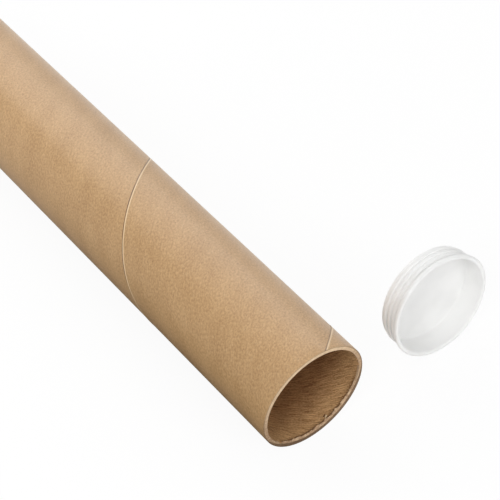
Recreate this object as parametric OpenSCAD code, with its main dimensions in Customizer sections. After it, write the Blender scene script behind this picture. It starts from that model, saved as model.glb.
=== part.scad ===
// Spiral-wound kraft mailing tube, lying on its side, with a ribbed push-in plug for each end.
// One plug closes the far end. The other is off and stands on its edge beside the open mouth.
// Frame: the origin is on the tube's axis in the plane of the open mouth, +X points out of the mouth,
// +Z is up, and +Y points to the side where the loose plug stands. Lengths are in millimetres.

/* [Tube] */
// Inside diameter of the tube
bore_d = 50.8; // [46:0.1:120]
// Thickness of the wound wall
wall_t = 2.03; // [1.2:0.01:6]
// Length from end to end
tube_len = 304.8; // [160:0.1:1000]

/* [Spiral seam] */
// Width of the paper strip that is wound on as the outer ply
ply_w = 106; // [60:0.5:140]
// Thickness of the outer ply, which is the depth of its seam
ply_t = 0.2; // [0.1:0.01:0.5]
// Gap between neighbouring turns of the outer ply
seam_gap = 0.5; // [0.2:0.05:1.5]
// Angle at which the seam meets the mouth, from the top towards the loose plug
seam_angle = 11.4; // [0:0.1:360]

/* [Plug] */
// Length of the part that goes into the tube
insert_len = 11.1; // [10.2:0.1:20]
// Thickness of the flange that stops on the tube's end
flange_t = 1.5; // [1.2:0.05:2.2]
// How far the flange's edge stays inside the outside of the tube
flange_inset = 0.7; // [0.2:0.05:0.9]
// Thickness of the side wall between the ribs
side_t = 0.6; // [0.5:0.05:1]
// Thickness of the closed base
base_t = 1.1; // [0.6:0.05:2]
// Draft of the inside of the side wall, in degrees
draft = 1.5; // [0.5:0.1:3]
// Fillet between the side wall and the base, inside
base_fillet = 0.9; // [0.5:0.1:2]
// Rounding of the nose that enters the tube first
nose_round = 1.2; // [0.5:0.1:1.6]

/* [Ribs] */
// Number of ring ribs round the plug
rib_count = 3; // [1:1:3]
// Distance from rib to rib
rib_pitch = 2.65; // [2.2:0.05:3]
// Distance from the flange to the first rib's crest
rib_start = 2.7; // [1.8:0.05:3]
// Height of a rib above the side wall
rib_h = 0.6; // [0.2:0.05:0.7]
// Radius of a rib's rounded section
rib_round = 0.85; // [0.75:0.05:1.2]
// Oversize of the ribs in the untouched bore, which holds the plug by friction
rib_grip = 0.3; // [0:0.01:0.4]

/* [Loose plug] */
// Free space between the tube's side and the loose plug's flange
stand_gap = 24.8; // [5:0.1:200]
// Distance of the loose plug's rim behind the plane of the mouth
stand_back = 4.8; // [0:0.1:100]
// Turn of the loose plug about the vertical, away from the tube's own direction
stand_turn = -2.1; // [-30:0.1:30]

/* [Hidden] */

// Radial clearance between the seated plug's ribs and the card that they have stretched
seat_clear = 0.15;
// Length over which the stretched card returns to the bore's own diameter
seat_taper = 2;
// How far cutting shapes reach past what they cut
overrun = 1;
// Slices in one turn of the seam's cutter, and sides of its section
seam_slices = 60;
seam_sides = 4;
// Share of the rim's width, or of its double thickness if that is less, in each rounding of its crown
crown_share = 0.48;
$fn = 96;

bore_r = bore_d / 2;
tube_r = bore_r + wall_t;

// One turn of the outer ply advances by its lead: the strip's width is the lead seen square to the seam.
girth = 2 * PI * tube_r;
seam_lead = ply_w * girth / sqrt(girth * girth - ply_w * ply_w);
seam_slope = atan(seam_lead / girth);
seam_arc = seam_gap / sin(seam_slope);

plug_len = flange_t + insert_len;
flange_r = tube_r - flange_inset;
crest_r = bore_r + rib_grip;
side_r = crest_r - rib_h;
recess_len = plug_len - base_t;
recess_r = side_r - side_t;
rim_w = flange_r - recess_r;
crown_r = crown_share * min(rim_w, 2 * flange_t);
seat_r = crest_r + seat_clear;

// Distance of a rib's crest from the rim plane
function rib_z(i) = flange_t + rib_start + i * rib_pitch;

// The loose plug rests on the edge of its flange and on its last rib. The floor passes through that edge and
// touches the rib's round section, which gives the plug's lean and the height of its rim.
rib_at = [crest_r - rib_round, rib_z(rib_count - 1)];
foot_run = rib_at.y - flange_t;
foot_drop = flange_r - rib_at.x;
lean = atan2(foot_drop, foot_run) - asin(rib_round / norm([foot_run, foot_drop]));
rim_height = flange_r * cos(lean) + flange_t * sin(lean);

kraft = [0.74, 0.60, 0.44];
white_plastic = [0.93, 0.94, 0.95];

// Cutter for the spiral seam, along +Z from the mouth, wound as a right-handed strip
module seam_cutter() {
    cut_len = tube_len + 2 * overrun;
    turns = cut_len / seam_lead;
    slices = ceil(turns * seam_slices);
    translate([0, 0, -overrun])
        rotate([0, 0, seam_angle - overrun / seam_lead * 360])
            linear_extrude(height = cut_len, twist = -turns * 360, slices = slices, segments = seam_sides)
                translate([tube_r - ply_t, -seam_arc / 2])
                    square([ply_t + overrun, seam_arc]);
}

// Bore from the mouth to the far end, where the seated plug has stretched the card a little
module bore_cutter() {
    seat_from = tube_len - insert_len;
    translate([0, 0, -overrun])
        cylinder(r = bore_r, h = tube_len + 2 * overrun);
    translate([0, 0, seat_from - seat_taper])
        cylinder(r1 = bore_r, r2 = seat_r, h = seat_taper);
    translate([0, 0, seat_from])
        cylinder(r = seat_r, h = insert_len + overrun);
}

// Wound tube: its mouth is at the origin and it runs back along -X
module tube() {
    color(kraft)
        rotate([0, -90, 0])
            difference() {
                cylinder(r = tube_r, h = tube_len);
                bore_cutter();
                seam_cutter();
            }
}

// Section of the rim: the flange and the top of the side wall under one rounded crown
module rim_section() {
    intersection() {
        union() {
            translate([recess_r + crown_r, crown_r])
                circle(r = crown_r);
            translate([flange_r - crown_r, crown_r])
                circle(r = crown_r);
            translate([recess_r + crown_r, 0])
                square([rim_w - 2 * crown_r, flange_t]);
            translate([recess_r, crown_r])
                square([rim_w, flange_t - crown_r]);
        }
        square([flange_r, flange_t]);
    }
}

// Half section of the plug's hollow: drafted, and filleted into the base
module recess_section() {
    fillet_z = recess_len - base_fillet;
    fillet_r = recess_r - (fillet_z - crown_r) * tan(draft) - base_fillet / cos(draft);
    polygon([
        [0, crown_r],
        [recess_r, crown_r],
        [fillet_r + base_fillet * cos(draft), fillet_z + base_fillet * sin(draft)],
        [fillet_r, fillet_z],
        [fillet_r, recess_len],
        [0, recess_len]
    ]);
    translate([fillet_r, fillet_z])
        circle(r = base_fillet);
}

// Half section of the plug below its rim: side wall with its ribs, rounded nose and closed base
module cup_section() {
    difference() {
        union() {
            translate([0, crown_r])
                square([side_r - nose_round, plug_len - crown_r]);
            translate([0, crown_r])
                square([side_r, plug_len - nose_round - crown_r]);
            translate([side_r - nose_round, plug_len - nose_round])
                circle(r = nose_round);
            for (i = [0 : rib_count - 1])
                translate([crest_r - rib_round, rib_z(i)])
                    circle(r = rib_round);
        }
        recess_section();
    }
}

// Moulded plug, turned about +Z: the rim's face is on z = 0 and the nose points along +Z
module plug() {
    color(white_plastic)
        rotate_extrude() {
            rim_section();
            cup_section();
        }
}

// Plug that is off: it stands on its edge, leaning back on its last rib, with its hollow facing +X
module near_plug() {
    translate([-stand_back, tube_r + stand_gap + flange_r, rim_height - tube_r])
        rotate([0, 0, stand_turn])
            rotate([0, -90 - lean, 0])
                plug();
}

// Plug in the far end: its flange stops on the end of the tube
module far_plug() {
    translate([-tube_len - flange_t, 0, 0])
        rotate([0, 90, 0])
            plug();
}

tube();
near_plug();
far_plug();
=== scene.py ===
"""Studio scene of a spiral-wound kraft mailing tube with two ribbed white end plugs.

The tube lies on a pale floor with its mouth open. One plug closes the far end, the other stands beside
the mouth. Everything is in metres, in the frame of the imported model: the origin is on the tube's axis in
the plane of the mouth, +X points out of the mouth and +Z is up.
"""

from __future__ import annotations

import logging
import math
from dataclasses import dataclass, field
from enum import Enum, IntEnum
from typing import Any, Iterable, Mapping, Sequence

import bmesh
import bpy
from mathutils import Matrix, Vector, noise


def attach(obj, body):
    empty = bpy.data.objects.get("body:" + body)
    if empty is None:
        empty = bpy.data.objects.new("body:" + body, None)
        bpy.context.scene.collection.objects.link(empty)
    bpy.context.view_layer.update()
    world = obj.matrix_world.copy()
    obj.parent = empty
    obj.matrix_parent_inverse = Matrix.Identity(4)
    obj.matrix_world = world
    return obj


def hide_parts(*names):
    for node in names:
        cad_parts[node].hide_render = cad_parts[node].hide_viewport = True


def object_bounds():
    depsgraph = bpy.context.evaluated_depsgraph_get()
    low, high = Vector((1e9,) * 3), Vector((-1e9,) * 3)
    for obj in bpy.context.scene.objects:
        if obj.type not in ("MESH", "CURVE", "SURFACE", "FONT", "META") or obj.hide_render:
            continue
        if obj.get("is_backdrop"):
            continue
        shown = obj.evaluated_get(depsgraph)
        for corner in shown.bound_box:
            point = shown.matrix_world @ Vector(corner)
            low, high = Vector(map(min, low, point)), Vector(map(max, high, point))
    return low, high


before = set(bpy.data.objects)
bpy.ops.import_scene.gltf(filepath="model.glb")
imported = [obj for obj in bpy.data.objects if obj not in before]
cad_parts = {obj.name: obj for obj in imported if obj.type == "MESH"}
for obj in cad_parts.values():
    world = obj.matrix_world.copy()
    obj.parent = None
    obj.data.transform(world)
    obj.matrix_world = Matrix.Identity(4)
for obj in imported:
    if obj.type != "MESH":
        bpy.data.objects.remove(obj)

LOG = logging.getLogger("mailing_tube")
MM = 0.001
FULL_TURN = 2 * math.pi
# Points of a mesh that are closer than this are one point.
MERGE = 0.001 * MM
# Points that are closer than this to a saw cut are on it.
CUT_SLACK = 0.0001 * MM
# How far outside the bore's radius a point may be and still belong to the bore's wall.
WALL_SLACK = 0.01 * MM
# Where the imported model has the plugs: the middle of each one's rim, and the loose plug's lean and turn.
LOOSE_RIM_MM = (-4.8, 78.96, -0.7257)
LOOSE_LEAN = math.radians(7.288)
LOOSE_TURN = math.radians(-2.1)
SEATED_RIM = (-306.3 * MM, 0, 0)

Colour = tuple[float, float, float]
WHITE: Colour = (1.0, 1.0, 1.0)
# Length of a noise's spots along each coordinate.
Spots = tuple[float, float, float]
# Values between which a mask goes from 0 to 1.
Band = tuple[float, float]


class Chart(Enum):
    """UV maps of the pieces, in metres."""

    WRAP = "wrap"
    """Along and across the wound strip."""
    TURNED = "turned"
    """Along a turned piece's axis and away from it."""


def srgb(red: int, green: int, blue: int) -> Colour:
    """Turn a colour in 8-bit display values into linear light.

    Args:
        red: Red from 0 to 255.
        green: Green from 0 to 255.
        blue: Blue from 0 to 255.

    Returns:
        The linear colour.
    """
    parts = (value / 255 for value in (red, green, blue))
    return tuple(p / 12.92 if p <= 0.04045 else ((p + 0.055) / 1.055) ** 2.4 for p in parts)


class Field:
    """A value that varies over a surface: arithmetic on it adds Math nodes."""

    def __init__(self, board: Board, socket: bpy.types.NodeSocket) -> None:
        """Wrap an output socket of a board's node."""
        self.board = board
        self.socket = socket

    def _math(self, operation: str, first: Any, second: Any = 0.0) -> Field:
        """Add one Math node.

        Args:
            operation: Name of the Math node's operation.
            first: First operand, a field or a number.
            second: Second operand, a field or a number.

        Returns:
            The node's result.
        """
        node = self.board.node("ShaderNodeMath", {"operation": operation}, {0: first, 1: second})
        return Field(self.board, node.outputs[0])

    def __add__(self, other: Any) -> Field:
        """Return self + other."""
        return self._math("ADD", self, other)

    def __radd__(self, other: Any) -> Field:
        """Return other + self."""
        return self._math("ADD", other, self)

    def __sub__(self, other: Any) -> Field:
        """Return self - other."""
        return self._math("SUBTRACT", self, other)

    def __rsub__(self, other: Any) -> Field:
        """Return other - self."""
        return self._math("SUBTRACT", other, self)

    def __mul__(self, other: Any) -> Field:
        """Return self * other."""
        return self._math("MULTIPLY", self, other)

    def __rmul__(self, other: Any) -> Field:
        """Return other * self."""
        return self._math("MULTIPLY", other, self)

    def __pow__(self, other: Any) -> Field:
        """Return self ** other."""
        return self._math("POWER", self, other)

    def sine(self) -> Field:
        """Return the sine of the value in radians."""
        return self._math("SINE", self)

    def least(self, other: Any) -> Field:
        """Return the smaller of self and other."""
        return self._math("MINIMUM", self, other)

    def most(self, other: Any) -> Field:
        """Return the larger of self and other."""
        return self._math("MAXIMUM", self, other)

    def rise(self, low: float, high: float) -> Field:
        """Go smoothly from 0 to 1.

        Args:
            low: Value up to which the result is 0.
            high: Value from which the result is 1.

        Returns:
            The eased result.
        """
        settings = {"interpolation_type": "SMOOTHSTEP"}
        node = self.board.node("ShaderNodeMapRange", settings, {0: self, 1: low, 2: high, 3: 0.0, 4: 1.0})
        return Field(self.board, node.outputs[0])


class Board:
    """The node tree of one material or world, with the few nodes that the finishes are made of."""

    def __init__(self, tree: bpy.types.NodeTree) -> None:
        """Start with an empty tree."""
        self.tree = tree
        tree.nodes.clear()

    def node(
        self,
        kind: str,
        settings: Mapping[str, Any] | None = None,
        inputs: Mapping[str | int, Any] | None = None,
    ) -> bpy.types.Node:
        """Add any node.

        Args:
            kind: The node's type name.
            settings: Properties that are set first.
            inputs: Values or links of its sockets, by name or number.

        Returns:
            The new node.
        """
        made = self.tree.nodes.new(kind)
        for name, value in (settings or {}).items():
            setattr(made, name, value)
        for key, value in (inputs or {}).items():
            socket = made.inputs[key]
            if isinstance(value, Field):
                self.tree.links.new(value.socket, socket)
            elif isinstance(value, bpy.types.NodeSocket):
                self.tree.links.new(value, socket)
            elif isinstance(value, tuple) and socket.type == "RGBA":
                socket.default_value = (*value, 1.0)
            else:
                socket.default_value = value
        return made

    def mapped(self, chart: Chart) -> bpy.types.NodeSocket:
        """Return the coordinates of a UV map, in metres."""
        return self.node("ShaderNodeUVMap", {"uv_map": chart.value}).outputs["UV"]

    def object_coords(self) -> bpy.types.NodeSocket:
        """Return the place in the shared frame, in metres."""
        return self.node("ShaderNodeTexCoord").outputs["Object"]

    def axes(self, vector: bpy.types.NodeSocket) -> tuple[Field, Field, Field]:
        """Split a vector into its three parts."""
        parts = self.node("ShaderNodeSeparateXYZ", inputs={0: vector}).outputs
        return Field(self, parts[0]), Field(self, parts[1]), Field(self, parts[2])

    def grain(
        self,
        coords: bpy.types.NodeSocket,
        size: Spots,
        detail: float = 2.0,
        roughness: float = 0.5,
        distortion: float = 0.0,
    ) -> Field:
        """Add a noise whose spots have a given size.

        Args:
            coords: Coordinates in metres.
            size: Length of a spot along each coordinate, in metres.
            detail: Octaves of the noise.
            roughness: Share of the finer octaves.
            distortion: How far the noise is bent by itself.

        Returns:
            The noise, about 0.5 in the mean.
        """
        scale = tuple(1 / s for s in size)
        place = self.node("ShaderNodeVectorMath", {"operation": "MULTIPLY"}, {0: coords, 1: scale}).outputs[0]
        inputs = {
            "Vector": place,
            "Scale": 1.0,
            "Detail": detail,
            "Roughness": roughness,
            "Distortion": distortion,
        }
        return Field(self, self.node("ShaderNodeTexNoise", inputs=inputs).outputs[0])

    def blend(self, amount: Any, first: Any, second: Any) -> bpy.types.NodeSocket:
        """Mix two colours.

        Args:
            amount: Share of the second colour.
            first: Colour or colour socket.
            second: Colour or colour socket.

        Returns:
            The mixed colour.
        """
        mix = self.node("ShaderNodeMix", {"data_type": "RGBA"}, {0: amount, 6: first, 7: second})
        return mix.outputs[2]

    def mix(self, amount: Any, first: bpy.types.Node, second: bpy.types.Node) -> bpy.types.Node:
        """Mix two shaders.

        Args:
            amount: Share of the second shader.
            first: Node of the first shader.
            second: Node of the second shader.

        Returns:
            The mixing node.
        """
        inputs = {0: amount, 1: first.outputs[0], 2: second.outputs[0]}
        return self.node("ShaderNodeMixShader", inputs=inputs)

    def bump(self, height: Field, depth: float) -> bpy.types.NodeSocket:
        """Turn a height field into a normal.

        Args:
            height: Height from 0 to 1.
            depth: Depth of the relief in metres.

        Returns:
            The bent normal.
        """
        inputs = {"Strength": 1.0, "Distance": depth, "Height": height}
        return self.node("ShaderNodeBump", inputs=inputs).outputs[0]

    def surface(self, inputs: Mapping[str, Any]) -> None:
        """End the tree in a Principled shader with these inputs."""
        shader = self.node("ShaderNodeBsdfPrincipled", inputs=inputs)
        self.node("ShaderNodeOutputMaterial", inputs={"Surface": shader.outputs[0]})


def new_material(name: str) -> tuple[bpy.types.Material, Board]:
    """Make an empty node material.

    Args:
        name: Name of the material.

    Returns:
        The material and its board.
    """
    material = bpy.data.materials.new(name)
    material.use_nodes = True
    return material, Board(material.node_tree)


@dataclass(frozen=True)
class OuterKraft:
    """Smooth machine-finished kraft paper of the outer ply, with its spiral seam: a painted highlight along
    the raised edge of each turn and painted shade in the gap.
    """

    ply_w: float
    dark: Colour = srgb(169, 130, 85)
    light: Colour = srgb(206, 168, 121)
    fleck: Colour = srgb(122, 86, 52)
    fibre: Colour = srgb(224, 196, 156)
    # Colour of the painted shade in the seam's gap.
    gap_shade: Colour = srgb(96, 66, 40)
    # Colour of the painted highlight along the raised edge of the ply at the seam.
    lip: Colour = srgb(236, 207, 166)
    fine_spots: Spots = (1.15 * MM, 0.9 * MM, 1)
    cloud_spots: Spots = (26 * MM, 9 * MM, 1)
    hair_spots: Spots = (3.2 * MM, 0.4 * MM, 1)
    fleck_spots: Spots = (1.1 * MM, 0.7 * MM, 1)
    gap_shade_spots: Spots = (15 * MM, 40 * MM, 1)
    fine_contrast: float = 2.4
    cloud_contrast: float = 0.7
    fleck_band: Band = (0.64, 0.78)
    fleck_share: float = 0.45
    fibre_band: Band = (0.6, 0.74)
    fibre_share: float = 0.4
    lip_highlight_band: Band = (0.55 * MM, 1.05 * MM)
    lip_highlight_share: float = 0.9
    gap_shade_band: Band = (0.12 * MM, 0.3 * MM)
    gap_spread: float = 0.65
    gap_shade_share: float = 0.35
    gap_shade_patch_band: Band = (0.38, 0.62)
    gap_shade_patch_share: float = 0.55
    relief: float = 0.035 * MM

    def material(self) -> bpy.types.Material:
        """Return the paper's material."""
        made, board = new_material("outer_kraft")
        wrap = board.mapped(Chart.WRAP)
        _, across, _ = board.axes(wrap)
        fine = board.grain(wrap, self.fine_spots, detail=3, roughness=0.6)
        cloud = board.grain(wrap, self.cloud_spots, detail=3)
        hair = board.grain(wrap, self.hair_spots, detail=2, distortion=0.4)
        fleck = board.grain(wrap, self.fleck_spots, detail=1)
        tone = 0.5 + (fine - 0.5) * self.fine_contrast + (cloud - 0.5) * self.cloud_contrast
        paper = board.blend(tone.most(0).least(1), self.dark, self.light)
        paper = board.blend(fleck.rise(*self.fleck_band) * self.fleck_share, paper, self.fleck)
        paper = board.blend(hair.rise(*self.fibre_band) * self.fibre_share, paper, self.fibre)
        edge = self.ply_w - across
        # Painted highlight along the raised edge of the ply at the seam.
        paper = board.blend((1 - edge.rise(*self.lip_highlight_band)) * self.lip_highlight_share, paper, self.lip)
        # Painted shade in the seam's gap, stronger in patches along the seam.
        near = edge.least(across * self.gap_spread)
        gap_shade_patches = board.grain(wrap, self.gap_shade_spots, detail=2)
        gap_shade_amount = gap_shade_patches.rise(*self.gap_shade_patch_band) * self.gap_shade_patch_share + self.gap_shade_share
        paper = board.blend((1 - near.rise(*self.gap_shade_band)) * gap_shade_amount, paper, self.gap_shade)
        board.surface(
            {
                "Base Color": paper,
                "Roughness": 0.36 + fine * 0.12,
                "Specular IOR Level": 0.65,
                "Coat Weight": 0.25,
                "Coat Roughness": 0.28,
                "Sheen Weight": 0.04,
                "Sheen Roughness": 0.4,
                "Normal": board.bump(fine * 0.6 + hair * 0.4, self.relief),
            }
        )
        return made


@dataclass(frozen=True)
class Nick:
    """One torn sliver on the bore's wall, which slants between two scars."""

    angle: float = math.radians(157.2)
    depth: float = 2.3 * MM
    slant: float = math.radians(-24)
    pitch: float = 2.0 * MM
    half_len: float = 0.9 * MM
    half_w: float = 1.5 * MM
    lift: float = 0.25 * MM
    scar_share: float = 0.6
    reach: float = 4.0 * MM

    def ruled(
        self, back: float | Field, side: float | Field, rise: float | Field
    ) -> tuple[float | Field, float | Field, float | Field]:
        """Measure a place from the middle of the sliver, in plain numbers or in fields.

        Args:
            back: The place's X.
            side: The place's Y.
            rise: The place's Z.

        Returns:
            Distance from the tube's axis towards the sliver, and distances along and across the sliver.
        """
        low = side * math.sin(self.angle) + rise * math.cos(self.angle)
        turned = side * math.cos(self.angle) - rise * math.sin(self.angle)
        depth = 0 - back - self.depth
        long = turned * math.cos(self.slant) + depth * math.sin(self.slant)
        wide = depth * math.cos(self.slant) - turned * math.sin(self.slant)
        return low, long, wide

    def height(self, place: Vector) -> float:
        """Tell how far the wall stands in at a place on the bore.

        Args:
            place: The place.

        Returns:
            Height in metres: above zero on the sliver, below zero in the scars.
        """
        low, long, wide = self.ruled(*place)
        if low <= 0:
            return 0.0
        along = max(0.0, 1 - (long / self.half_len) ** 2)
        across = max(0.0, 1 - (wide / self.half_w) ** 2)
        wave = math.cos(FULL_TURN * wide / self.pitch)
        return self.lift * along * across * (wave if wave > 0 else self.scar_share * wave)


@dataclass(frozen=True)
class InnerChip:
    """Coarse brown chipboard of the inner ply: streaked along its strip, with painted light near the mouth
    and a painted shadow behind the torn lip.
    """

    dark: Colour = srgb(112, 74, 42)
    light: Colour = srgb(186, 138, 91)
    # Lighter tones of the board near the mouth: painted light falling in through the mouth.
    mouth_lit_dark: Colour = srgb(148, 106, 64)
    mouth_lit_light: Colour = srgb(228, 186, 134)
    # Colour of the painted shadow behind the torn lip at the mouth.
    lip_shadow: Colour = srgb(104, 70, 38)
    # Colour of the painted shadow in the scars on each side of the sliver.
    sliver_shadow: Colour = srgb(70, 40, 16)
    sliver: Colour = srgb(255, 232, 190)
    streak_spots: Spots = (8 * MM, 0.36 * MM, 1)
    fine_spots: Spots = (1.0 * MM, 0.55 * MM, 1)
    streak_contrast: float = 2.6
    fine_contrast: float = 1.6
    mouth_lit_band: Band = (3 * MM, 22 * MM)
    mouth_lit_share: float = 0.9
    lip_shadow_angle: float = math.radians(158)
    lip_shadow_low: Band = (8 * MM, 19 * MM)
    lip_shadow_band: Band = (2.6 * MM, 4.2 * MM)
    lip_shadow_ragged: float = 2.4 * MM
    lip_shadow_share: float = 0.55
    sliver_shadow_band: Band = (0.2, 0.8)
    # How much of the painted shadow the scars beside the sliver take.
    scar_share: float = 0.9
    sliver_band: Band = (0.3, 0.9)
    nick_low: Band = (20 * MM, 22 * MM)
    nick_long_squared: Band = (0.2 * MM * MM, 0.7 * MM * MM)
    nick_wide_squared: Band = (1.6 * MM * MM, 2.3 * MM * MM)
    relief: float = 0.08 * MM
    nick: Nick = Nick()

    def _nick(self, board: Board, chip: bpy.types.NodeSocket) -> bpy.types.NodeSocket:
        """Colour the small torn sliver behind the mouth: one pale fibre, with painted shadow in the two scars
        beside it.

        Args:
            board: The material's board.
            chip: Colour of the board without it.

        Returns:
            The colour with the sliver.
        """
        low, long, wide = self.nick.ruled(*board.axes(board.object_coords()))
        wave = (wide * (FULL_TURN / self.nick.pitch) + math.pi / 2).sine()
        inside = (1 - (long * long).rise(*self.nick_long_squared)) * low.rise(*self.nick_low)
        inside = inside * (1 - (wide * wide).rise(*self.nick_wide_squared))
        # Painted shadow in the scars on each side of the pale sliver.
        sliver_shadowed = board.blend((0 - wave).rise(*self.sliver_shadow_band) * inside * self.scar_share, chip, self.sliver_shadow)
        return board.blend(wave.rise(*self.sliver_band) * inside, sliver_shadowed, self.sliver)

    def material(self) -> bpy.types.Material:
        """Return the board's material."""
        made, board = new_material("inner_chip")
        wrap = board.mapped(Chart.WRAP)
        streak = board.grain(wrap, self.streak_spots, detail=2, roughness=0.6, distortion=0.3)
        fine = board.grain(wrap, self.fine_spots, detail=3, roughness=0.6)
        tone = 0.5 + (streak - 0.5) * self.streak_contrast + (fine - 0.5) * self.fine_contrast
        tone = tone.most(0).least(1)
        back, side, rise = board.axes(board.object_coords())
        # Painted light: the board is lighter near the mouth, where light falls in, and darker deeper in.
        mouth_lit = (1 - (0 - back).rise(*self.mouth_lit_band)) * self.mouth_lit_share
        dark = board.blend(mouth_lit, self.dark, self.mouth_lit_dark)
        chip = board.blend(tone, dark, board.blend(mouth_lit, self.light, self.mouth_lit_light))
        # Painted shadow behind the torn lip, on the lower part of the bore just inside the mouth.
        low = side * math.sin(self.lip_shadow_angle) + rise * math.cos(self.lip_shadow_angle)
        lip_shadow_mask = 1 - (fine * self.lip_shadow_ragged - back).rise(*self.lip_shadow_band)
        lip_shadow_mask = lip_shadow_mask * low.rise(*self.lip_shadow_low)
        chip = board.blend(lip_shadow_mask * self.lip_shadow_share, chip, self.lip_shadow)
        board.surface(
            {
                "Base Color": self._nick(board, chip),
                "Roughness": 0.8 + (fine - 0.5) * 0.15,
                "Specular IOR Level": 0.3,
                "Normal": board.bump(streak * 0.6 + fine * 0.4, self.relief),
            }
        )
        return made


@dataclass(frozen=True)
class CutCard:
    """Sawn edge of the wound card: pale fuzzy fibre with fine ply lines, a darker tan towards the bottom, and
    painted shade along the outer edge that widens and darkens below.
    """

    line: Colour = srgb(156, 122, 88)
    pale: Colour = srgb(238, 208, 170)
    fuzz: Colour = srgb(250, 234, 206)
    # A darker tan that the cut takes towards the bottom.
    low_tan: Colour = srgb(178, 144, 112)
    # Colour of the painted shade along the outer edge of the cut.
    rim: Colour = srgb(120, 94, 70)
    torn_spots: Spots = (0.5 * MM, 0.5 * MM, 0.5 * MM)
    patch_spots: Spots = (2 * MM, 2 * MM, 2 * MM)
    ply_pitch: float = 0.34 * MM
    ply_wander: float = 0.12 * MM
    ply_share: float = 0.4
    ply_band: Band = (0.3, 0.6)
    low_angle: float = math.radians(165)
    low_tan_band: Band = (-22 * MM, 0)
    low_tan_share: float = 0.8
    low_tan_contrast: float = 2
    fuzz_band: Band = (0.5, 0.75)
    fuzz_share: float = 0.5
    edge_shade_band: Band = (26.9 * MM, 27.3 * MM)
    edge_shade_ragged: float = 0.2 * MM
    edge_shade_widens: float = 1.75 * MM
    edge_shade_widens_low: Band = (0, 20 * MM)
    edge_shade_darkens_low: Band = (-15 * MM, 5 * MM)
    edge_shade_share: float = 0.55
    edge_shade_low_share: float = 0.3
    relief: float = 0.12 * MM

    def material(self) -> bpy.types.Material:
        """Return the edge's material."""
        made, board = new_material("cut_card")
        place = board.object_coords()
        _, side, rise = board.axes(place)
        radius = (side * side + rise * rise) ** 0.5
        low = side * math.sin(self.low_angle) + rise * math.cos(self.low_angle)
        torn = board.grain(place, self.torn_spots, detail=3, roughness=0.6)
        patch = board.grain(place, self.patch_spots, detail=3)
        plies = ((radius + torn * self.ply_wander) * (FULL_TURN / self.ply_pitch)).sine() * 0.5 + 0.5
        card = board.blend(plies * self.ply_share * patch.rise(*self.ply_band), self.pale, self.line)
        # Darker tan towards the bottom, in patches.
        patchy = (self.low_tan_share + (patch - 0.5) * self.low_tan_contrast).most(0).least(1)
        card = board.blend(low.rise(*self.low_tan_band) * patchy, card, self.low_tan)
        card = board.blend(torn.rise(*self.fuzz_band) * self.fuzz_share, card, self.fuzz)
        # Painted shade along the outer edge of the cut, wider and darker towards the bottom.
        outside = radius + torn * self.edge_shade_ragged + low.rise(*self.edge_shade_widens_low) * self.edge_shade_widens
        edge_shade = self.edge_shade_share + low.rise(*self.edge_shade_darkens_low) * self.edge_shade_low_share
        card = board.blend(outside.rise(*self.edge_shade_band) * edge_shade, card, self.rim)
        board.surface(
            {
                "Base Color": card,
                "Roughness": 0.85 + (torn - 0.5) * 0.1,
                "Specular IOR Level": 0.25,
                "Normal": board.bump(torn * 0.7 + plies * 0.3, self.relief),
            }
        )
        return made


@dataclass(frozen=True)
class WhitePlastic:
    """Soft white moulded plastic of the plugs, a little milky, with painted shade low down between the ribs.
    """

    body: Colour = srgb(244, 244, 243)
    milk: Colour = srgb(239, 239, 238)
    # Grey of the painted shade in the grooves between the ribs.
    groove_shade: Colour = srgb(190, 196, 199)
    flow_spots: Spots = (14 * MM, 14 * MM, 14 * MM)
    skin_spots: Spots = (0.7 * MM, 0.7 * MM, 0.7 * MM)
    flow_band: Band = (0.35, 0.65)
    groove_from: Band = (24.6 * MM, 25.0 * MM)
    groove_to: Band = (25.1 * MM, 25.6 * MM)
    flange_back: Band = (1.5 * MM, 1.9 * MM)
    groove_shade_ends: Band = (-12 * MM, 16 * MM)
    groove_shade_thins: Band = (-22 * MM, -6 * MM)
    groove_shade_share: float = 0.9
    groove_shade_loss: float = 0.4
    relief: float = 0.003 * MM

    def material(self) -> bpy.types.Material:
        """Return the plastic's material."""
        made, board = new_material("white_plastic")
        place = board.object_coords()
        _, _, height = board.axes(place)
        along, away, _ = board.axes(board.mapped(Chart.TURNED))
        flow = board.grain(place, self.flow_spots, detail=2)
        skin = board.grain(place, self.skin_spots, detail=2)
        plain = board.blend(flow.rise(*self.flow_band), self.body, self.milk)
        between = away.rise(*self.groove_from) * (1 - away.rise(*self.groove_to))
        # Painted shade in the grooves between the ribs, back from the flange, strongest low down and fading
        # out higher up.
        groove_shade_mask = between * along.rise(*self.flange_back) * (1 - height.rise(*self.groove_shade_ends))
        groove_shade_mask = groove_shade_mask * (self.groove_shade_share - height.rise(*self.groove_shade_thins) * self.groove_shade_loss)
        board.surface(
            {
                "Base Color": board.blend(groove_shade_mask, plain, self.groove_shade),
                "Roughness": 0.3 + skin * 0.1,
                "Subsurface Weight": 0.5,
                "Subsurface Radius": (1.0, 1.0, 1.0),
                "Subsurface Scale": 0.6 * MM,
                "Normal": board.bump(skin, self.relief),
            }
        )
        return made


class CardFace(IntEnum):
    """Material slots of the wound tube."""

    OUTER = 0
    CUT = 1
    INNER = 2


def arc(centre: tuple[float, float], radius: float, start: float, end: float, steps: int) -> list[Vector]:
    """List points along an arc in a section plane.

    Args:
        centre: Centre of the arc: distance from the axis and distance along it.
        radius: Radius of the arc.
        start: First angle in degrees, from the outward direction towards the axis direction.
        end: Last angle in degrees.
        steps: Number of chords.

    Returns:
        The points, ends included.
    """
    angles = (math.radians(start + (end - start) * i / steps) for i in range(steps + 1))
    return [Vector((centre[0] + radius * math.cos(a), 0, centre[1] + radius * math.sin(a))) for a in angles]


def only(items: Iterable[Any], kind: type) -> list[Any]:
    """Return the items of one kind, such as the faces among what an operator made."""
    return [item for item in items if isinstance(item, kind)]


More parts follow.
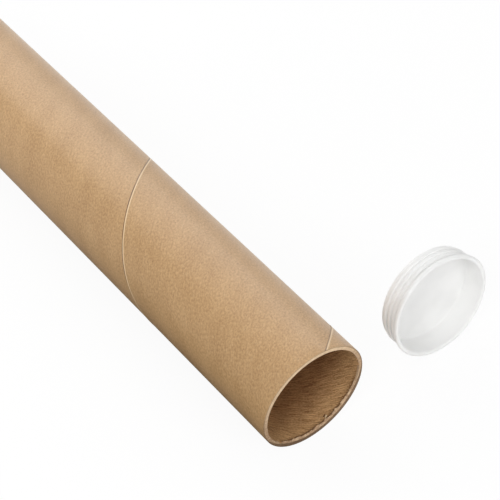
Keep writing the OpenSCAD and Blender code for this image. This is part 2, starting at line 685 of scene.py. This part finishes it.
def pull_in(vert: bmesh.types.BMVert, by: float) -> None:
    """Move a point of the tube straight towards the tube's axis.

    Args:
        vert: The point.
        by: Distance in metres.
    """
    radius = math.hypot(vert.co.y, vert.co.z)
    shrink = (radius - by) / radius
    vert.co = (vert.co.x, vert.co.y * shrink, vert.co.z * shrink)


def finish_mesh(bm: bmesh.types.BMesh, name: str, sharp_deg: float) -> bpy.types.Object:
    """Shade a bmesh smooth, keep its creases and put it into the scene.

    Args:
        bm: The finished bmesh, which is freed.
        name: Name of the piece.
        sharp_deg: Angle above which an edge stays sharp.

    Returns:
        The new object, at the origin.
    """
    limit = math.radians(sharp_deg)
    for face in bm.faces:
        face.smooth = True
    for edge in bm.edges:
        edge.smooth = len(edge.link_faces) != 2 or edge.calc_face_angle(0.0) < limit
    mesh = bpy.data.meshes.new(name)
    bm.to_mesh(mesh)
    bm.free()
    piece = bpy.data.objects.new(name, mesh)
    bpy.context.scene.collection.objects.link(piece)
    return piece


@dataclass(frozen=True)
class Tear:
    """One torn spot of the mouth's inner edge: its angle and half width in degrees, and how far it stands in.

    A spot with a height below zero is a notch.
    """

    angle: float
    width: float
    height: float

    def at(self, turn: float) -> float:
        """Return the spot's height at an angle in degrees."""
        return self.height * math.exp(-(((turn - self.angle) / self.width) ** 2))


@dataclass(frozen=True)
class Burr:
    """The torn lip of the mouth's inner edge: a long ragged swelling, fine fuzz all round and torn spots."""

    start_deg: float = 102.0
    end_deg: float = 232.0
    lift: float = 1.5 * MM
    swell: float = 0.7
    mean: float = 0.7
    ragged: float = 0.7
    fuzz: float = 0.03 * MM
    fractal: tuple[float, float, int] = (0.6, 2.3, 3)
    coarse: float = 9
    seed: float = 3.7
    fine: float = 34
    fine_share: float = 0.6
    front: float = 0.25
    crest: float = 0.7 * MM
    foot: float = 1.7 * MM
    foot_wave: float = 14
    foot_wander: float = 0.35 * MM
    bare: float = 1.0 * MM
    reach: float = 2.2 * MM
    tears: Sequence[Tear] = (
        Tear(135.0, 11.0, 0.5 * MM),
        Tear(167.0, 6.0, 0.4 * MM),
        Tear(157.0, 2.2, -0.6 * MM),
        Tear(224.0, 2.5, -0.9 * MM),
        Tear(82.0, 1.6, -0.5 * MM),
        Tear(75.0, 1.8, -0.5 * MM),
    )

    def crest_height(self, angle: float) -> float:
        """Tell how far the lip's crest stands in at an angle.

        Args:
            angle: Angle from the top towards the loose plug, in radians.

        Returns:
            Height of the crest in metres.
        """
        turn = math.degrees(angle) % 360
        around = Vector((math.sin(angle), math.cos(angle), 0))
        rough = noise.fractal(around * self.coarse + Vector((0, 0, self.seed)), *self.fractal)
        rough += self.fine_share * noise.noise(around * self.fine)
        share = (turn - self.start_deg) / (self.end_deg - self.start_deg)
        swell = math.sin(math.pi * share) ** self.swell if 0 < share < 1 else 0.0
        torn = self.lift * swell * (self.mean + self.ragged * rough)
        lip = max(0.0, self.fuzz * (1 + rough) + torn)
        return lip + sum(tear.at(turn) for tear in self.tears)

    def height(self, place: Vector) -> float:
        """Tell how far the wall stands in at a place on the bore.

        Args:
            place: The place.

        Returns:
            Height in metres, below zero in a notch.
        """
        depth = -place.x
        angle = math.atan2(place.y, place.z)
        often = self.foot_wave
        wave = noise.noise(Vector((math.sin(angle) * often, math.cos(angle) * often, depth / MM)))
        front = self.front + (1 - self.front) * min(1.0, depth / self.crest)
        left = (self.foot + self.foot_wander * wave - depth) / (self.foot - self.crest)
        back = min(1.0, max(0.0, left))
        return self.crest_height(angle) * front * back * back * (3 - 2 * back)


@dataclass
class WoundTube:
    """The wound paper tube: an outer ply with its spiral seam, a coarse bore and two sawn ends."""

    bore_r: float = 25.4 * MM
    outer_r: float = 27.43 * MM
    length: float = 304.8 * MM
    ply_w: float = 106 * MM
    ply_t: float = 0.15 * MM
    ply_edge_share: float = 0.3
    ply_round: float = 0.06 * MM
    ply_steps_mm: Sequence[float] = (1.0, 8.0, 28.0, 53.0, 78.0, 98.0)
    seam_gap: float = 0.3 * MM
    seam_angle: float = math.radians(11.4)
    inner_turn: float = 2.4
    lip_rise: float = 0.1 * MM
    lip_w: float = 1.2 * MM
    lip_curve: Sequence[Band] = ((1.0, 0.0), (0.75, 0.12), (0.5, 0.5), (0.25, 0.88), (0.06, 1.0))
    lip_edge_share: float = 0.3
    edge_round: float = 0.1 * MM
    edge_degrees: Sequence[float] = (30, 60, 90)
    seat_r: float = 25.85 * MM
    seat_len: float = 11.1 * MM
    seat_taper: float = 2 * MM
    steps_per_turn: int = 180
    spare_turns: int = 2
    lead_in: float = 1.5
    bore_segments: int = 720
    burr_depths_mm: Sequence[float] = (0.0, 0.2, 0.4, 0.6, 0.8, 1.0, 1.25, 1.6, 2.0)
    nick_depths_mm: Sequence[float] = (2.2, 2.4, 2.6, 2.8, 3.0, 3.2, 3.4, 4.6, 6.5)
    bore_depths_mm: Sequence[float] = (10, 16, 26, 40, 60, 90, 130, 175, 220, 260)
    burr: Burr = Burr()
    nick: Nick = Nick()
    sharp_deg: float = 32

    def __post_init__(self) -> None:
        """Derive the lead of the wound strip from its width."""
        girth = FULL_TURN * self.outer_r
        self.lead = self.ply_w * girth / math.sqrt(girth**2 - self.ply_w**2)
        self.seam_run = self.seam_gap * self.lead / self.ply_w

    def build(self) -> bpy.types.Object:
        """Return the finished tube."""
        bm = bmesh.new()
        self._wind_outer_ply(bm)
        rims = self._trim_ends(bm)
        bore_ends = self._sink_bore(bm)
        self._wear(bm, self.burr)
        self._bare_lip(bm)
        self._wear(bm, self.nick)
        for rim, bore_end, outward in zip(rims, bore_ends, (1, -1)):
            edges = rim + bore_end
            made = bmesh.ops.triangle_fill(bm, use_beauty=True, edges=edges, normal=(outward, 0, 0))
            for face in only(made["geom"], bmesh.types.BMFace):
                face.material_index = CardFace.CUT
        bmesh.ops.recalc_face_normals(bm, faces=bm.faces[:])
        self._unroll(bm)
        piece = finish_mesh(bm, "wound_tube", self.sharp_deg)
        for finish in (OuterKraft(self.ply_w), CutCard(), InnerChip()):
            piece.data.materials.append(finish.material())
        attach(piece, "tube")
        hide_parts("tube")
        return piece

    def _wind_outer_ply(self, bm: bmesh.types.BMesh) -> None:
        """Wind the strip's section along its spiral, turn against turn.

        Args:
            bm: The bmesh that gets the strip.
        """
        half = self.seam_run / 2
        low = self.outer_r - self.ply_t
        run = self.lead / self.ply_w
        section = [
            (0.0, low),
            (half, low),
            (half, self.outer_r - self.ply_edge_share * self.ply_t),
            (half + self.ply_round * run, self.outer_r),
        ]
        section += [(half + step * MM * run, self.outer_r) for step in self.ply_steps_mm]
        for share, rise in self.lip_curve:
            back = self.lead - half - share * self.lip_w * run
            section.append((back, self.outer_r + rise * self.lip_rise))
        section += [
            (self.lead - half, self.outer_r + self.lip_edge_share * self.lip_rise),
            (self.lead - half, low),
            (self.lead, low),
        ]
        turns = math.ceil(self.length / self.lead) + self.spare_turns
        start = -self.lead * self.lead_in
        angle = self.seam_angle - math.pi
        chain = [bm.verts.new(self._at(angle, start + back, radius)) for back, radius in section]
        edges = [bm.edges.new(pair) for pair in zip(chain, chain[1:])]
        steps = turns * self.steps_per_turn
        bmesh.ops.spin(
            bm,
            geom=chain + edges,
            cent=(0, 0, 0),
            axis=(1, 0, 0),
            dvec=(-self.lead / self.steps_per_turn, 0, 0),
            angle=-turns * FULL_TURN,
            steps=steps,
            use_merge=False,
        )
        bmesh.ops.remove_doubles(bm, verts=bm.verts[:], dist=MERGE)

    @staticmethod
    def _at(angle: float, depth: float, radius: float) -> Vector:
        """Place a point by its angle from the top, its depth behind the mouth and its radius."""
        return Vector((-depth, radius * math.sin(angle), radius * math.cos(angle)))

    def _trim_ends(self, bm: bmesh.types.BMesh) -> list[list[bmesh.types.BMEdge]]:
        """Saw the wound strip square at both ends and round the outer edges a little.

        Args:
            bm: The bmesh with the strip.

        Returns:
            The open edge loop at the mouth and at the far end.
        """
        rims = []
        for depth, outward in ((self.edge_round, 1.0), (self.length - self.edge_round, -1.0)):
            cut = bmesh.ops.bisect_plane(
                bm,
                geom=bm.verts[:] + bm.edges[:] + bm.faces[:],
                dist=CUT_SLACK,
                plane_co=(-depth, 0, 0),
                plane_no=(outward, 0, 0),
                clear_outer=True,
            )
            rims.append(self._round_rim(bm, only(cut["geom_cut"], bmesh.types.BMEdge), outward))
        return rims

    def _round_rim(
        self, bm: bmesh.types.BMesh, rim: list[bmesh.types.BMEdge], outward: float
    ) -> list[bmesh.types.BMEdge]:
        """Extrude an open rim through a small quarter round.

        Args:
            bm: The bmesh with the rim.
            rim: The rim's edges.
            outward: 1 at the mouth and -1 at the far end.

        Returns:
            The new open rim.
        """
        previous = 0.0
        for turn in map(math.radians, self.edge_degrees):
            made = bmesh.ops.extrude_edge_only(bm, edges=rim)["geom"]
            inward = self.edge_round * (math.cos(previous) - math.cos(turn))
            along = self.edge_round * (math.sin(turn) - math.sin(previous))
            for vert in only(made, bmesh.types.BMVert):
                vert.co.x += outward * along
                pull_in(vert, inward)
            for face in only(made, bmesh.types.BMFace):
                face.material_index = CardFace.CUT if previous > 0 else CardFace.OUTER
            rim = [edge for edge in only(made, bmesh.types.BMEdge) if edge.is_boundary]
            previous = turn
        return rim

    def _sink_bore(self, bm: bmesh.types.BMesh) -> list[list[bmesh.types.BMEdge]]:
        """Run the bore's wall from the mouth to the far end.

        Args:
            bm: The bmesh that gets the wall.

        Returns:
            The open edge loop at the mouth and at the far end.
        """
        seat = self.length - self.seat_len
        depths_mm = (*self.burr_depths_mm, *self.nick_depths_mm, *self.bore_depths_mm)
        stations = [(depth * MM, self.bore_r) for depth in depths_mm]
        stations += [(seat - self.seat_taper, self.bore_r), (seat, self.seat_r), (self.length, self.seat_r)]
        turn = Matrix.Rotation(math.pi / 2, 4, "Y")
        ring = bmesh.ops.create_circle(bm, segments=self.bore_segments, radius=self.bore_r, matrix=turn)
        first = list(dict.fromkeys(edge for vert in ring["verts"] for edge in vert.link_edges))
        edges = first
        at = 0.0
        for depth, radius in stations[1:]:
            made = bmesh.ops.extrude_edge_only(bm, edges=edges)["geom"]
            verts = only(made, bmesh.types.BMVert)
            bmesh.ops.translate(bm, verts=verts, vec=(at - depth, 0, 0))
            size = radius / math.hypot(verts[0].co.y, verts[0].co.z)
            bmesh.ops.scale(bm, verts=verts, vec=(1, size, size))
            for face in only(made, bmesh.types.BMFace):
                face.material_index = CardFace.INNER
            edges = [edge for edge in only(made, bmesh.types.BMEdge) if edge.is_boundary]
            at = depth
        return [first, edges]

    def _on_wall(self, place: Vector) -> bool:
        """Tell whether a place is on the bore's wall."""
        return math.hypot(place.y, place.z) < self.bore_r + WALL_SLACK

    def _wear(self, bm: bmesh.types.BMesh, wear: Burr | Nick) -> None:
        """Raise a worn spot of the bore's wall and press in its notches or scars.

        Args:
            bm: The bmesh with the bore's wall.
            wear: The worn spot.
        """
        for vert in bm.verts:
            if -vert.co.x < wear.reach and self._on_wall(vert.co):
                pull_in(vert, wear.height(vert.co))

    def _bare_lip(self, bm: bmesh.types.BMesh) -> None:
        """Show the bare fibre of the cut on the front of the torn lip.

        Args:
            bm: The bmesh with the torn lip.
        """
        for face in bm.faces:
            middle = face.calc_center_median()
            if self._on_wall(middle) and -middle.x < self.burr.bare:
                face.material_index = CardFace.CUT

    def _unroll(self, bm: bmesh.types.BMesh) -> None:
        """Map the card's faces along and across the wound strip, in metres.

        Args:
            bm: The closed bmesh.
        """
        layer = bm.loops.layers.uv.new(Chart.WRAP.value)
        for face in bm.faces:
            inner = face.material_index == CardFace.INNER
            radius = self.bore_r if inner else self.outer_r
            offset = self.inner_turn if inner else 0.0
            middle = face.calc_center_median()
            centre = math.atan2(middle.y, middle.z)
            begun = (centre - self.seam_angle - offset) / FULL_TURN
            strip = math.floor(-middle.x / self.lead - begun)
            girth = FULL_TURN * radius
            span = math.hypot(girth, self.lead)
            for loop in face.loops:
                place = loop.vert.co
                angle = math.atan2(place.y, place.z)
                angle = centre + (angle - centre + math.pi) % FULL_TURN - math.pi
                turned = angle - self.seam_angle - offset + FULL_TURN * strip
                along = (turned * radius * girth - place.x * self.lead) / span
                across = (-place.x / self.lead - turned / FULL_TURN) * self.ply_w
                loop[layer].uv = (along, across)


@dataclass
class EndPlug:
    """A push-in plug: a thin turned cup with a rounded rim, a flange and three ring ribs."""

    name: str
    node: str
    body: str
    place: Matrix
    flange_r: float = 26.73 * MM
    flange_t: float = 1.5 * MM
    depth: float = 12.6 * MM
    side_r: float = 25.1 * MM
    side_t: float = 0.6 * MM
    base_t: float = 1.1 * MM
    draft: float = math.radians(1.5)
    base_fillet: float = 0.9 * MM
    nose_round: float = 1.2 * MM
    rib_r: float = 0.85 * MM
    rib_crest: float = 25.7 * MM
    rib_at: Sequence[float] = (4.2 * MM, 6.85 * MM, 9.5 * MM)
    crown_share: float = 0.48
    edge_break: float = 0.1 * MM
    root_fillet: float = 0.3 * MM
    base_rings: Sequence[float] = (0.0, 0.35, 0.7, 0.9)
    segments: int = 256
    sharp_deg: float = 40

    def _section(self) -> list[Vector]:
        """Return the half section from the axis inside, over the rim, to the axis outside."""
        wall_r = self.side_r - self.side_t
        crown = self.crown_share * (self.flange_r - wall_r)
        recess = self.depth - self.base_t
        fillet_z = recess - self.base_fillet
        drafted = (fillet_z - crown) * math.tan(self.draft)
        fillet_r = wall_r - drafted - self.base_fillet / math.cos(self.draft)
        points = [Vector((share * fillet_r, 0, recess)) for share in self.base_rings]
        tilt = math.degrees(self.draft)
        points += arc((fillet_r, fillet_z), self.base_fillet, 90, tilt, steps=8)
        points += arc((wall_r + crown, crown), crown, 180, 270, steps=10)
        points += arc((self.flange_r - crown, crown), crown, 270, 360, steps=10)
        points += [Vector((self.flange_r, 0, self.flange_t - self.edge_break))]
        points += [Vector((self.flange_r - self.edge_break, 0, self.flange_t))]
        root = (self.side_r + self.root_fillet, self.flange_t + self.root_fillet)
        points += arc(root, self.root_fillet, 270, 180, steps=4)
        reach = self.rib_crest - self.rib_r
        half = math.degrees(math.acos((self.side_r - reach) / self.rib_r))
        for height in self.rib_at:
            points += arc((reach, height), self.rib_r, -half, half, steps=10)
        nose = (self.side_r - self.nose_round, self.depth - self.nose_round)
        points += arc(nose, self.nose_round, 0, 90, steps=8)
        points += [Vector((share * nose[0], 0, self.depth)) for share in reversed(self.base_rings)]
        return points

    def build(self, plastic: bpy.types.Material) -> bpy.types.Object:
        """Turn the section into the finished plug.

        Args:
            plastic: Material of the plug.

        Returns:
            The plug.
        """
        bm = bmesh.new()
        chain = [bm.verts.new(point) for point in self._section()]
        edges = [bm.edges.new(pair) for pair in zip(chain, chain[1:])]
        bmesh.ops.spin(
            bm,
            geom=chain + edges,
            cent=(0, 0, 0),
            axis=(0, 0, 1),
            angle=FULL_TURN,
            steps=self.segments,
            use_merge=True,
        )
        bmesh.ops.remove_doubles(bm, verts=bm.verts[:], dist=MERGE)
        bmesh.ops.recalc_face_normals(bm, faces=bm.faces[:])
        layer = bm.loops.layers.uv.new(Chart.TURNED.value)
        for face in bm.faces:
            for loop in face.loops:
                spot = loop.vert.co
                loop[layer].uv = (spot.z, math.hypot(spot.x, spot.y))
        bmesh.ops.transform(bm, matrix=self.place, verts=bm.verts[:])
        piece = finish_mesh(bm, self.name, self.sharp_deg)
        piece.data.materials.append(plastic)
        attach(piece, self.body)
        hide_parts(self.node)
        return piece


def standing_place() -> Matrix:
    """Return where the loose plug stands: on its flange and its last rib, beside the mouth."""
    turned = Matrix.Rotation(LOOSE_TURN, 4, "Z") @ Matrix.Rotation(-math.pi / 2 - LOOSE_LEAN, 4, "Y")
    return Matrix.Translation(Vector(LOOSE_RIM_MM) * MM) @ turned


def seated_place() -> Matrix:
    """Return where the far plug sits: its flange on the end of the tube."""
    return Matrix.Translation(SEATED_RIM) @ Matrix.Rotation(math.pi / 2, 4, "Y")


class LampShape(Enum):
    """Shapes of the soft boxes."""

    SQUARE = "SQUARE"
    STRIP = "RECTANGLE"


@dataclass(frozen=True)
class SoftBox:
    """One soft lamp, aimed at the middle of the object.

    A lamp that isn't mirrored lights the pieces but leaves no image of itself in their shine.
    """

    name: str
    towards: tuple[float, float, float]
    level: float
    distance: float
    width: float
    height: float
    shape: LampShape = LampShape.STRIP
    mirrored: bool = True

    def place(self, target: Vector) -> bpy.types.Object:
        """Hang the lamp.

        Args:
            target: The point that the lamp looks at.

        Returns:
            The lamp.
        """
        data = bpy.data.lights.new(self.name, "AREA")
        data.shape = self.shape.value
        data.size = self.width
        if self.shape is LampShape.STRIP:
            data.size_y = self.height
        data.energy = self.level * math.pi**2 * self.distance**2
        lamp = bpy.data.objects.new(self.name, data)
        aim = Vector(self.towards).normalized()
        lamp.location = target + aim * self.distance
        lamp.rotation_euler = aim.to_track_quat("Z", "Y").to_euler()
        lamp.visible_glossy = self.mirrored
        bpy.context.scene.collection.objects.link(lamp)
        return lamp


@dataclass
class Studio:
    """White studio: a pale floor, a sky, soft lamps and the camera.

    To the camera the floor and the sky are white. As a light and in mirrors the floor grows from dim to pale
    towards +Y, far back and in front, and the mirrored sky grows from dim to white towards +Y.
    """

    floor_z: float = -27.43 * MM
    floor_half: float = 6.0
    sky: float = 0.47
    bounce: Band = (0.06, 0.92)
    mirrored: Band = (0.04, 1.0)
    graded: Band = (-15 * MM, 30 * MM)
    receding: Band = (60 * MM, 260 * MM)
    receding_share: float = 0.4
    fronting: Band = (20 * MM, 120 * MM)
    fronting_share: float = 0.9
    sky_graded: Band = (-0.7, 0.0)
    shadow_share: float = 0.08
    lit_point: tuple[float, float, float] = (-0.08, 0.03, 0)
    lens: float = 120.09
    sensor_w: float = 36.0
    clip: Band = (0.01, 50.0)
    camera_at: tuple[float, float, float] = (0.3361, -0.29681, 0.56258)
    camera_right: tuple[float, float, float] = (0.61499, 0.78853, 0.0)
    camera_up: tuple[float, float, float] = (-0.57155, 0.44576, 0.68893)
    lamps: Sequence[SoftBox] = field(
        default_factory=lambda: (
            SoftBox("key_box", (0.33, -0.7, 0.63), 0.31, 1.4, 0.6, 0.6, LampShape.SQUARE),
            SoftBox("back_box", (-0.8, -0.57, 0.18), 0.25, 0.7, 0.4, 0.3, mirrored=False),
            SoftBox("top_box", (-0.7, 0.3, 0.65), 0.36, 1.0, 1.4, 0.6),
            SoftBox("front_box", (0.87, 0.06, 0.48), 0.25, 1.6, 0.9, 0.6),
        )
    )

    def build(self) -> None:
        """Put up the whole studio."""
        self._floor()
        self._sky()
        for lamp in self.lamps:
            lamp.place(Vector(self.lit_point))
        self._camera()
        bpy.context.scene.view_settings.view_transform = "Standard"

    @staticmethod
    def _rays(board: Board) -> tuple[Field, Field]:
        """Return 1 for the camera's own rays, and 1 for rays that were mirrored or went through a piece."""
        path = board.node("ShaderNodeLightPath").outputs
        mirrored = Field(board, path["Is Glossy Ray"]).most(Field(board, path["Is Transmission Ray"]))
        return Field(board, path["Is Camera Ray"]), mirrored

    def _floor(self) -> None:
        """Lay the floor: white with a soft shadow to the camera, graded as a light and in mirrors."""
        bm = bmesh.new()
        flat = Matrix.Translation((0, 0, self.floor_z))
        bmesh.ops.create_grid(bm, x_segments=4, y_segments=4, size=self.floor_half, matrix=flat)
        floor = finish_mesh(bm, "floor", sharp_deg=30)
        material, board = new_material("pale_floor")
        camera, mirrored = self._rays(board)
        white = board.node("ShaderNodeEmission", inputs={"Color": WHITE, "Strength": 1.0})
        shade = board.node("ShaderNodeBsdfDiffuse", inputs={"Color": WHITE})
        shown = board.mix(self.shadow_share, white, shade)
        front, side, _ = board.axes(board.object_coords())
        grade = side.rise(*self.graded).most((0 - front).rise(*self.receding) * self.receding_share)
        grade = grade.most(front.rise(*self.fronting) * self.fronting_share)
        tones = [board.blend(grade, (low,) * 3, (high,) * 3) for low, high in (self.bounce, self.mirrored)]
        dim, sheet = (board.node("ShaderNodeBsdfDiffuse", inputs={"Color": tone}) for tone in tones)
        both = board.mix(camera, board.mix(mirrored, dim, sheet), shown)
        board.node("ShaderNodeOutputMaterial", inputs={"Surface": both.outputs[0]})
        floor.data.materials.append(material)
        floor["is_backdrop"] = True

    def _sky(self) -> None:
        """Set the sky: white to the camera, even as a light, graded in mirrors."""
        world = bpy.data.worlds.new("studio")
        world.use_nodes = True
        bpy.context.scene.world = world
        board = Board(world.node_tree)
        camera, mirrored = self._rays(board)
        light = board.node("ShaderNodeBackground", inputs={"Color": WHITE, "Strength": self.sky})
        _, side, _ = board.axes(board.node("ShaderNodeTexCoord").outputs["Generated"])
        low, high = self.mirrored
        tone = board.blend(side.rise(*self.sky_graded).most(camera), (low,) * 3, (high,) * 3)
        shown = board.node("ShaderNodeBackground", inputs={"Color": tone, "Strength": 1.0})
        both = board.mix(camera.most(mirrored), light, shown)
        board.node("ShaderNodeOutputWorld", inputs={"Surface": both.outputs[0]})

    def _camera(self) -> None:
        """Place the camera at the photograph's viewing angle."""
        data = bpy.data.cameras.new("camera")
        data.lens = self.lens
        data.sensor_width = self.sensor_w
        data.clip_start, data.clip_end = self.clip
        camera = bpy.data.objects.new("camera", data)
        right, up = Vector(self.camera_right).normalized(), Vector(self.camera_up).normalized()
        turn = Matrix((right, up, right.cross(up))).transposed().to_4x4()
        camera.matrix_world = Matrix.Translation(self.camera_at) @ turn
        bpy.context.scene.collection.objects.link(camera)
        bpy.context.scene.camera = camera


def main() -> None:
    """Build every piece in order and report it."""
    logging.basicConfig(level=logging.INFO, format="%(name)s: %(message)s")
    packed = [corner.copy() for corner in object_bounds()]
    plastic = WhitePlastic().material()
    plugs = (
        EndPlug("loose_plug", "near_plug", "tube", standing_place()),
        EndPlug("seated_plug", "far_plug", "far_plug", seated_place()),
    )
    pieces = [WoundTube().build()]
    pieces += [plug.build(plastic) for plug in plugs]
    for piece in pieces:
        LOG.info("%s: %d faces", piece.name, len(piece.data.polygons))
    Studio().build()
    LOG.info("studio: floor, sky, lamps and camera")


if __name__ == "__main__":
    main()
